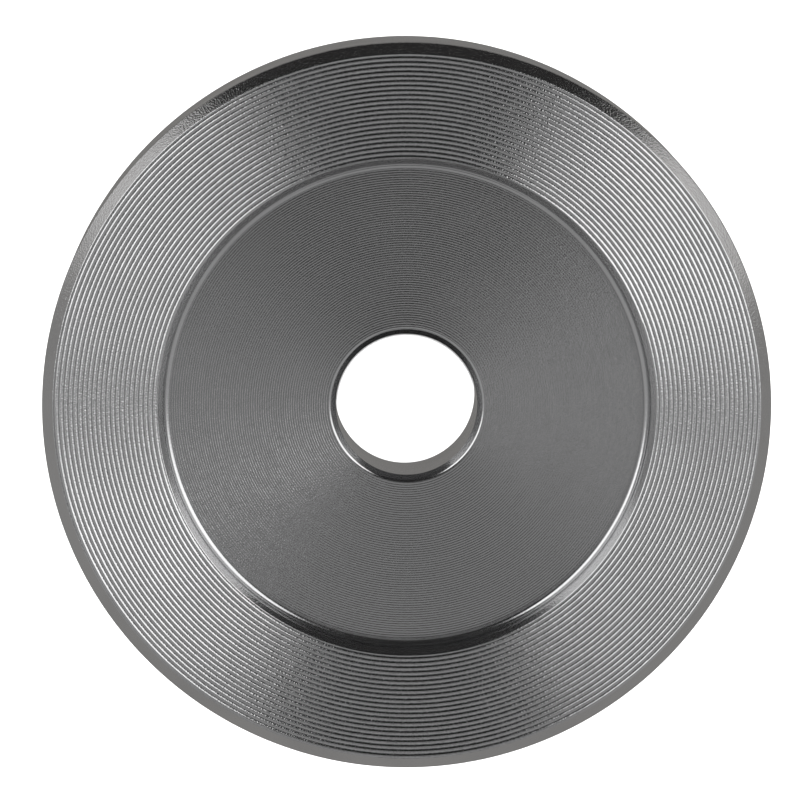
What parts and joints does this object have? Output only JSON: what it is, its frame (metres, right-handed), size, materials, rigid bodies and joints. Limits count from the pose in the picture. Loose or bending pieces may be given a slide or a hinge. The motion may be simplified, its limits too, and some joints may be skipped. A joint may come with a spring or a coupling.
{
  "type": "record centre adapter",
  "caption": "Round turned puck that fills a record's large centre hole and drops over a turntable's spindle, with a shallow dish in its grooved top face.",
  "frame": {"origin": "centre of the flat underside, on the bore's axis", "axes": "+Z along the bore, towards the dished and grooved top face; the piece is round, so X and Y are free"},
  "size_m": [0.038, 0.038, 0.008],
  "materials": {
    "turned_aluminium": "satin, lathe-turned with visible tool marks"
  },
  "bodies": {
    "root": {"puck": "turned_aluminium"}
  },
  "joints": []
}
